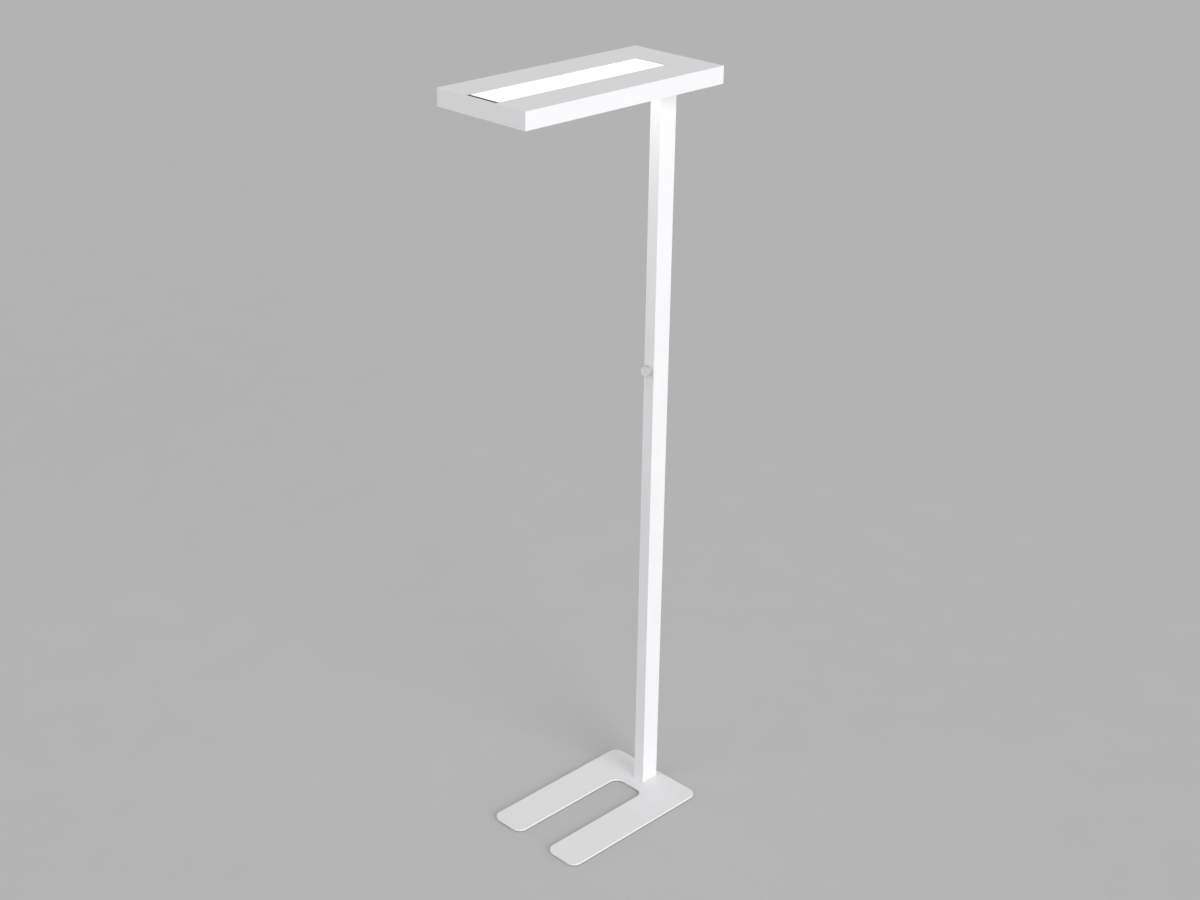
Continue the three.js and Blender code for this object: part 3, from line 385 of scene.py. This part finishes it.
# The post
def makePost():
    v = dict(wall=2 * mm, corner=1 * mm, cornerSteps=5, inletY=10.3 * mm, inletZ=13.8 * mm,
             bushHole=4.8 * mm, crossHole=2.8 * mm)
    low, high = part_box("post")
    wall = v["wall"]
    bm = flatOutline([(low.x, low.y), (high.x, low.y), (high.x, high.y), (low.x, high.y)], low.z)
    roundCorners(bm, v["corner"], v["cornerSteps"])
    raiseOutline(bm, high.z - low.z)
    bm = carve(bm, [boxMesh((low.x + wall, low.y + wall, low.z - mm),
                            (high.x - wall, high.y - wall, high.z + mm))])
    # the rear wall has the inlet's cut-out and the screws, the front wall the dimmer's bush
    outside, inside = low.x - mm, low.x + wall + mm
    holes = [boxMesh((outside, -v["inletY"], inletMiddle() - v["inletZ"]),
                     (inside, v["inletY"], inletMiddle() + v["inletZ"]))]
    for node in ("foot_block_screw_1", "foot_block_screw_2", "top_block_screw"):
        holes.append(rodMesh(v["crossHole"], outside, inside, "X", middle(node).yz))
    holes.append(rodMesh(v["bushHole"], high.x - wall - mm, high.x + mm, "X",
                         middle("dimmer_nut").yz))
    finishPiece(carve(bm, holes), "postTube", powderCoat, ["post"])


# The dimmer knob, with its ribs and its mark
def makeKnob():
    v = dict(chamfer=0.9 * mm, chamferRound=0.3, skirt=2.5 * mm, lip=0.2 * mm, rearEdge=0.5 * mm,
             gripStart=1.5 * mm, gripEnd=2.6 * mm, ribs=36, ribDepth=0.6 * mm, ribWall=0.16 * mm,
             bore=3.15 * mm, hollow=3 * mm, boreDepth=8.3 * mm, dish=0.35 * mm,
             dishRadius=8.6 * mm, dishSlope=1 * mm, markLength=5 * mm, markWidth=1.2 * mm,
             markDepth=0.6 * mm, markEdge=1.8 * mm, sideways=0.6)
    low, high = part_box("dimmer_knob")
    r, t, c = (high.y - low.y) / 2, high.x - low.x, v["chamfer"]
    inside, soft, face = r - v["skirt"], v["chamferRound"] * c, t - v["dish"]
    profile = [(v["bore"], v["hollow"]), (inside, v["hollow"]), (inside, v["lip"]),
               (inside + v["lip"], 0), (r - v["rearEdge"], 0), (r, v["rearEdge"]),
               (r, v["gripStart"]), (r, t - v["gripEnd"]), (r, t - c), (r - soft, t - soft),
               (r - c, t), (v["dishRadius"] + v["dishSlope"], t), (v["dishRadius"], face),
               (0, face)]
    bm = turnedMesh(profile, 2 * v["ribs"])
    # the bore is drawn down from the open ring and closed at its end
    hole = [e for e in bm.edges if e.is_boundary]
    down = bmesh.ops.extrude_edge_only(bm, edges=hole)["geom"]
    bmesh.ops.translate(bm, vec=(0, 0, v["boreDepth"] - v["hollow"]), verts=onlyVerts(down))
    end = [g for g in down if isinstance(g, bmesh.types.BMEdge)]
    bmesh.ops.contextual_create(bm, geom=end)
    # every other facet of the grip is pressed in
    grip = [f for f in bm.faces if abs(f.calc_center_median().xy.length - r) < near
            and v["gripStart"] < f.calc_center_median().z < t - v["gripEnd"]]
    grip.sort(key=lambda f: math.atan2(f.calc_center_median().y, f.calc_center_median().x))
    bmesh.ops.inset_individual(bm, faces=grip[::2], thickness=v["ribWall"], depth=-v["ribDepth"])
    bmesh.ops.recalc_face_normals(bm, faces=bm.faces)
    across, top = v["markWidth"] / 2, r - v["markEdge"]
    mark = boxMesh((-across, top - v["markLength"], face - v["markDepth"]), (across, top, t + mm))
    bm = carve(bm, [mark])
    centre = middle("dimmer_knob")
    place = Matrix.Translation((low.x, centre.y, centre.z))
    bmesh.ops.transform(bm, matrix=place @ alongX, verts=bm.verts)
    cap = finishPiece(bm, "knobCap", knobGrey, ["dimmer_knob"], body="knob")
    cap.data.materials.append(knobGrip)
    for part in cap.data.polygons:
        outwards = (Vector(part.center) - centre).yz.length
        if abs(part.normal.x) < v["sideways"] and outwards > r - v["skirt"] / 2:
            part.material_index = 1


# Ends and half width of the cut-out over the ceiling light
def windowOpening():
    v = dict(back=90 * mm, front=2 * mm, half=47.5 * mm)
    low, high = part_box("head_shell")
    return low.x + v["back"], high.x - v["front"], v["half"]


def makeShell():
    v = dict(wall=1.5 * mm, edge=0.5 * mm, bossRadius=4 * mm, bossHole=2.3 * mm,
             bossGap=5 * mm, bossInset=20 * mm, bossFoot=4.3 * mm, holeDepth=14.2 * mm)
    low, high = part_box("head_shell")
    wall = v["wall"]
    bm = boxMesh(low, high)
    base = [f for f in bm.faces if f.normal.z < -0.5]
    bmesh.ops.delete(bm, geom=base, context="FACES_ONLY")
    softenEdges(bm, creases(bm), v["edge"])
    bmesh.ops.solidify(bm, geom=bm.faces[:], thickness=wall)
    bmesh.ops.recalc_face_normals(bm, faces=bm.faces)
    back, front, half = windowOpening()
    bm = carve(bm, [boxMesh((back, -half, high.z - 2 * wall), (front, half, high.z + mm))])
    places = [(x, side * (high.y - wall - v["bossGap"]))
              for x in (low.x + wall + v["bossInset"], high.x - wall - v["bossInset"])
              for side in (-1, 1)]
    foot = low.z + v["bossFoot"]
    bosses = [rodMesh(v["bossRadius"], foot, high.z - wall / 2, across=p) for p in places]
    bm = carve(bm, bosses, "UNION")
    holes = [rodMesh(v["bossHole"], low.z, low.z + v["holeDepth"], across=p) for p in places]
    finishPiece(carve(bm, holes), "headShell", powderCoat, ["head_shell"])


def makeCeilingPanel():
    v = dict(corner=3 * mm, cornerSteps=6, edge=0.4 * mm)
    low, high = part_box("uplight_diffuser")
    bm = flatOutline([(low.x, low.y), (high.x, low.y), (high.x, high.y), (low.x, high.y)], low.z)
    roundCorners(bm, v["corner"], v["cornerSteps"])
    raiseOutline(bm, high.z - low.z)
    softenEdges(bm, creases(bm, outlineAngle), v["edge"])
    finishPiece(bm, "ceilingPanel", opalAcrylic, ["uplight_diffuser"])


# A slim edge trim stands on the panel, inside the cut edge of the sheet; its grey is painted shade
# on the recess wall
def makeWindowTrim():
    v = dict(thick=1 * mm, gap=0.02 * mm, edge=0.15 * mm)
    back, front, half = windowOpening()
    bottom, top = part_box("uplight_diffuser")[1].z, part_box("head_shell")[1].z
    x0, x1, y = back + v["gap"], front - v["gap"], half - v["gap"]
    bm = flatOutline([(x0, -y), (x1, -y), (x1, y), (x0, y)], bottom)
    bm.normal_update()
    ring = bmesh.ops.inset_region(bm, faces=bm.faces[:], thickness=v["thick"], use_boundary=True,
                                  use_even_offset=True)["faces"]
    bmesh.ops.delete(bm, geom=[f for f in bm.faces if f not in ring], context="FACES_ONLY")
    raiseOutline(bm, top - bottom - v["gap"])
    rims = [e for e in creases(bm, outlineAngle) if all(c.co.z > bottom + mm for c in e.verts)]
    softenEdges(bm, rims, v["edge"], steps=2)
    finishPiece(bm, "windowTrim", recessShadeGrey, [])


# The seal's dark foam is painted shade, standing in for a shadow gap at the window's front end
def makeSeal():
    v = dict(edge=0.3 * mm, clear=1.1 * mm)
    low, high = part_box("uplight_end_seal")
    end, half = windowOpening()[1:]
    bm = boxMesh((low.x, v["clear"] - half, low.z), (end - v["clear"], half - v["clear"], high.z))
    softenEdges(bm, bm.edges[:], v["edge"])
    finishPiece(bm, "endSeal", shadowGapFoam, ["uplight_end_seal"])


def makeDeskPanel():
    v = dict(border=4 * mm, pitch=4 * mm, prism=0.9 * mm, sink=0.27 * mm, lip=0.1 * mm,
             edge=0.3 * mm)
    low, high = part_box("downlight_diffuser")
    bm = boxMesh(low, high)
    softenEdges(bm, creases(bm), v["edge"], steps=2)
    # a plain border round a sunk field of small pyramids, pressed into the underside
    field = max((f for f in bm.faces if f.normal.z < -0.9), key=lambda f: f.calc_area())
    bmesh.ops.inset_region(bm, faces=[field], thickness=v["border"] - v["edge"] - v["lip"],
                           use_boundary=True, use_even_offset=True)
    bmesh.ops.inset_region(bm, faces=[field], thickness=v["lip"], depth=-v["sink"],
                           use_boundary=True, use_even_offset=True)
    cells = [field]
    for along in (0, 1):
        start, end = low[along] + v["border"], high[along] - v["border"]
        count = round((end - start) / v["pitch"])
        across = Vector((1 - along, along, 0))
        for i in range(1, count):
            spot = across * (start + (end - start) * i / count)
            edges = list(dict.fromkeys(e for f in cells for e in f.edges))
            corners = list(dict.fromkeys(c for f in cells for c in f.verts))
            cut = bmesh.ops.bisect_plane(bm, geom=cells + edges + corners, dist=cutWeld,
                                         plane_co=spot, plane_no=across)["geom"]
            cells = [g for g in cut if isinstance(g, bmesh.types.BMFace)]
    bmesh.ops.poke(bm, faces=cells, offset=-v["prism"])
    finishPiece(bm, "deskPanel", prismAcrylic, ["downlight_diffuser"])


def makeTray():
    v = dict(postX=26.6 * mm, postY=17.1 * mm, postCorner=1.5 * mm, lightBack=60 * mm,
             lightEdge=20 * mm, lightCorner=2 * mm, cornerSteps=6, hole=2.3 * mm, rim=0.3 * mm)
    low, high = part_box("head_tray")
    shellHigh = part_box("head_shell")[1]
    bm = boxMesh(low, high)
    softenEdges(bm, creases(bm), v["rim"], steps=2)
    # one opening for the post, one for the desk light
    openings = [(-v["postX"], v["postX"], v["postY"], v["postCorner"]),
                (v["lightBack"], shellHigh.x - v["lightEdge"], shellHigh.y - v["lightEdge"],
                 v["lightCorner"])]
    tools = []
    for start, end, half, corner in openings:
        tool = flatOutline([(start, -half), (end, -half), (end, half), (start, half)], low.z - mm)
        roundCorners(tool, corner, v["cornerSteps"])
        raiseOutline(tool, high.z - low.z + 2 * mm)
        tools.append(tool)
    for row in ("bracket_screw", "shell_screw"):
        for i in range(1, 5):
            across = middle(f"{row}_{i}").xy
            tools.append(rodMesh(v["hole"], low.z - mm, high.z + mm, across=across))
    finishPiece(carve(bm, tools), "headTray", powderCoat, ["head_tray"])


# The mains inlet, low in the rear of the post
inletPins = ("inlet_pin_live", "inlet_pin_neutral", "inlet_pin_earth")


def makeInlet():
    v = dict(flange=2 * mm, corner=2.5 * mm, cornerSteps=5, rim=0.4 * mm, bodyY=10 * mm,
             bodyZ=13.5 * mm, cutCorner=4.5 * mm, wall=1.5 * mm, recess=17 * mm,
             lugHalf=4 * mm, lugRise=1.2 * mm, lugSlope=2.1 * mm, lugLength=4 * mm,
             lugStart=4.6 * mm, slotGap=0.15 * mm)
    low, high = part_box("mains_inlet")
    mid = inletMiddle()

    # an outline in Y and Z, drawn out along X
    def drawnOut(points, start, end, corner=0.0):
        bm = flatOutline(points, 0)
        if corner:
            roundCorners(bm, corner, v["cornerSteps"])
        raiseOutline(bm, end - start)
        place = Matrix.Translation((start, 0, mid))
        bmesh.ops.transform(bm, matrix=place @ alongX, verts=bm.verts)
        return bm

    # the connector's outline, with two corners cut off
    def keyed(inset):
        y, z, c = v["bodyY"] - inset, v["bodyZ"] - inset, v["cutCorner"]
        return [(-y, -z), (y - c, -z), (y, c - z), (y, z - c), (y - c, z), (-y, z)]

    y, z = (high.y - low.y) / 2, mid - low.z
    plate = drawnOut([(-y, -z), (y, -z), (y, z), (-y, z)], low.x, low.x + v["flange"],
                     v["corner"])
    front = [e for e in creases(plate, outlineAngle)
             if all(c.co.x < low.x + near for c in e.verts)]
    softenEdges(plate, front, v["rim"])
    body = drawnOut(keyed(0), low.x + v["flange"] / 2, high.x)
    lugs = []
    start = low.x + v["lugStart"]
    for side in (-1, 1):
        foot, top = side * (v["bodyZ"] - mm), side * (v["bodyZ"] + v["lugRise"])
        lug = boxMesh((start, -v["lugHalf"], mid + min(foot, top)),
                      (start + v["lugLength"], v["lugHalf"], mid + max(foot, top)))
        tail = [c for c in lug.verts
                if c.co.x > start + mm and side * (c.co.z - mid) > v["bodyZ"]]
        bmesh.ops.translate(lug, vec=(0, 0, -side * v["lugSlope"]), verts=tail)
        lugs.append(lug)
    bm = carve(plate, [body], "UNION")
    bm = carve(bm, lugs, "UNION")
    bm = carve(bm, [drawnOut(keyed(v["wall"]), low.x - mm, low.x + v["recess"])])
    gap = Vector((0, v["slotGap"], v["slotGap"]))
    slots = []
    for node in inletPins:
        pinLow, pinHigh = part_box(node)
        slots.append(boxMesh(Vector((low.x + v["recess"] - mm, pinLow.y, pinLow.z)) - gap,
                             Vector((high.x + mm, pinHigh.y, pinHigh.z)) + gap))
    finishPiece(carve(bm, slots), "mainsInlet", mouldedBlack, ["mains_inlet"])


def makePins():
    v = dict(tip=0.7 * mm, edge=0.25 * mm, longest=10 * mm)
    for node in inletPins:
        low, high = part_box(node)
        bm = boxMesh(low, high)
        tip = [e for e in bm.edges if all(c.co.x < low.x + near for c in e.verts)]
        softenEdges(bm, tip, v["tip"])
        sides = [e for e in creases(bm, outlineAngle) if run(e, "X") > v["longest"]]
        softenEdges(bm, sides, v["edge"], steps=2)
        finishPiece(bm, node.replace("inlet_pin_", "pin-"), pinBrass, [node])


makeFootPlate()
makePads()
print("foot made")
makeScrews()
print("screws made")
makePost()
makeKnob()
print("post and knob made")
makeShell()
makeCeilingPanel()
makeWindowTrim()
makeSeal()
makeDeskPanel()
makeTray()
print("head made")
makeInlet()
makePins()
print("inlet made")

# Finishes of the pieces that keep their CAD shape
kept = {
    reflectorWhite: ["uplight_reflector", "downlight_frame", "carrier_plate"],
    zincPlate: ["head_bracket", "dimmer_nut"],
    milledAluminium: ["post_foot_block", "post_top_block", "dimmer_shaft"],
    mouldedBlack: ["dimmer_body"],
    blackSheath: ["mains_lead"],
    greyMoulding: ["dimmer_plunger", "control_lead"],
    whiteMoulding: ["led_driver", "terminal_block", "driver_supply_lead", "uplight_lead",
                    "downlight_lead", "downlight_link_lead"],
    boardMask: ["uplight_board", "downlight_board_left", "downlight_board_right"],
}
for material, nodes in kept.items():
    for node in nodes:
        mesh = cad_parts[node].data
        mesh.materials.clear()
        mesh.materials.append(material)
print("kept pieces finished")


# Floor and world
def makeStage():
    v = dict(reach=30, colour=(0.56, 0.56, 0.565), shade=0.985, drift=6,
             horizon=(0.455, 0.455, 0.459), ambient=0.57)
    bm = bmesh.new()
    bmesh.ops.create_grid(bm, x_segments=1, y_segments=1, size=v["reach"])
    mesh = bpy.data.meshes.new("floor")
    bm.to_mesh(mesh)
    bm.free()
    floor = bpy.data.objects.new("floor", mesh)
    bpy.context.collection.objects.link(floor)
    material = makeFinish("pale floor", dict(
        colour=v["colour"], shade=tuple(v["shade"] * c for c in v["colour"]),
        driftScale=v["drift"], grainScale=300, roughness=(0.8, 0.9), bumpStrength=0.1,
        bumpDepth=0.05 * mm, sockets={"Specular IOR Level": 0.0}))
    # from below the floor is clear, so that the underside can be looked at
    nodes, links = material.node_tree.nodes, material.node_tree.links
    side = nodes.new("ShaderNodeNewGeometry")
    clear = nodes.new("ShaderNodeBsdfTransparent")
    blend = nodes.new("ShaderNodeMixShader")
    links.new(side.outputs["Backfacing"], blend.inputs["Fac"])
    links.new(nodes["Principled BSDF"].outputs["BSDF"], blend.inputs[1])
    links.new(clear.outputs["BSDF"], blend.inputs[2])
    links.new(blend.outputs["Shader"], nodes["Material Output"].inputs["Surface"])
    mesh.materials.append(material)

    world = bpy.data.worlds.new("studio")
    bpy.context.scene.world = world
    world.use_nodes = True
    nodes, links = world.node_tree.nodes, world.node_tree.links
    ambient = nodes["Background"]
    ambient.inputs["Color"].default_value = (1, 1, 1, 1)
    ambient.inputs["Strength"].default_value = v["ambient"]
    seen = nodes.new("ShaderNodeBackground")
    seen.inputs["Color"].default_value = (*v["horizon"], 1)
    path = nodes.new("ShaderNodeLightPath")
    # the camera, reflections and clear pieces see the horizon's colour, not the ambient light
    rays = nodes.new("ShaderNodeMath")
    rays.operation = "ADD"
    links.new(path.outputs["Is Camera Ray"], rays.inputs[0])
    links.new(path.outputs["Is Glossy Ray"], rays.inputs[1])
    allRays = nodes.new("ShaderNodeMath")
    allRays.operation = "ADD"
    allRays.use_clamp = True
    links.new(rays.outputs[0], allRays.inputs[0])
    links.new(path.outputs["Is Transmission Ray"], allRays.inputs[1])
    blend = nodes.new("ShaderNodeMixShader")
    links.new(allRays.outputs[0], blend.inputs["Fac"])
    links.new(ambient.outputs["Background"], blend.inputs[1])
    links.new(seen.outputs["Background"], blend.inputs[2])
    links.new(blend.outputs["Shader"], nodes["World Output"].inputs["Surface"])


def makeLights():
    rows = [dict(name="side light", come=(0.15, 1.0, 0.27), power=2.0, spread=40),
            dict(name="front light", come=(1.0, -0.25, 0.3), power=0.3, spread=40),
            dict(name="rear light", come=(-1.0, 0.25, 0.12), power=0.5, spread=40),
            dict(name="left light", come=(0.25, -1.0, 0.12), power=0.5, spread=40)]
    for v in rows:
        light = bpy.data.lights.new(v["name"], "SUN")
        light.energy = v["power"]
        light.angle = math.radians(v["spread"])
        lamp = bpy.data.objects.new(v["name"], light)
        bpy.context.collection.objects.link(lamp)
        lamp.rotation_euler = (-Vector(v["come"])).to_track_quat("-Z", "Y").to_euler()


def makeCamera():
    v = dict(place=(3.1711, 2.9312, 2.9312), yaw=224.531, down=24.438, roll=0.824,
             lens=57.214, sensor=36, closest=0.1, farthest=100)
    yaw, down = math.radians(v["yaw"]), math.radians(v["down"])
    level = math.cos(down)
    ahead = Vector((math.cos(yaw) * level, math.sin(yaw) * level, -math.sin(down)))
    data = bpy.data.cameras.new("camera")
    data.sensor_width = v["sensor"]
    data.lens = v["lens"]
    data.clip_start, data.clip_end = v["closest"], v["farthest"]
    camera = bpy.data.objects.new("camera", data)
    bpy.context.collection.objects.link(camera)
    camera.location = v["place"]
    turn = ahead.to_track_quat("-Z", "Y") @ Quaternion((0, 0, 1), math.radians(v["roll"]))
    camera.rotation_euler = turn.to_euler()
    bpy.context.scene.camera = camera


makeStage()
makeLights()
makeCamera()
bpy.context.scene.view_settings.view_transform = "Standard"
print("stage, light and camera made")
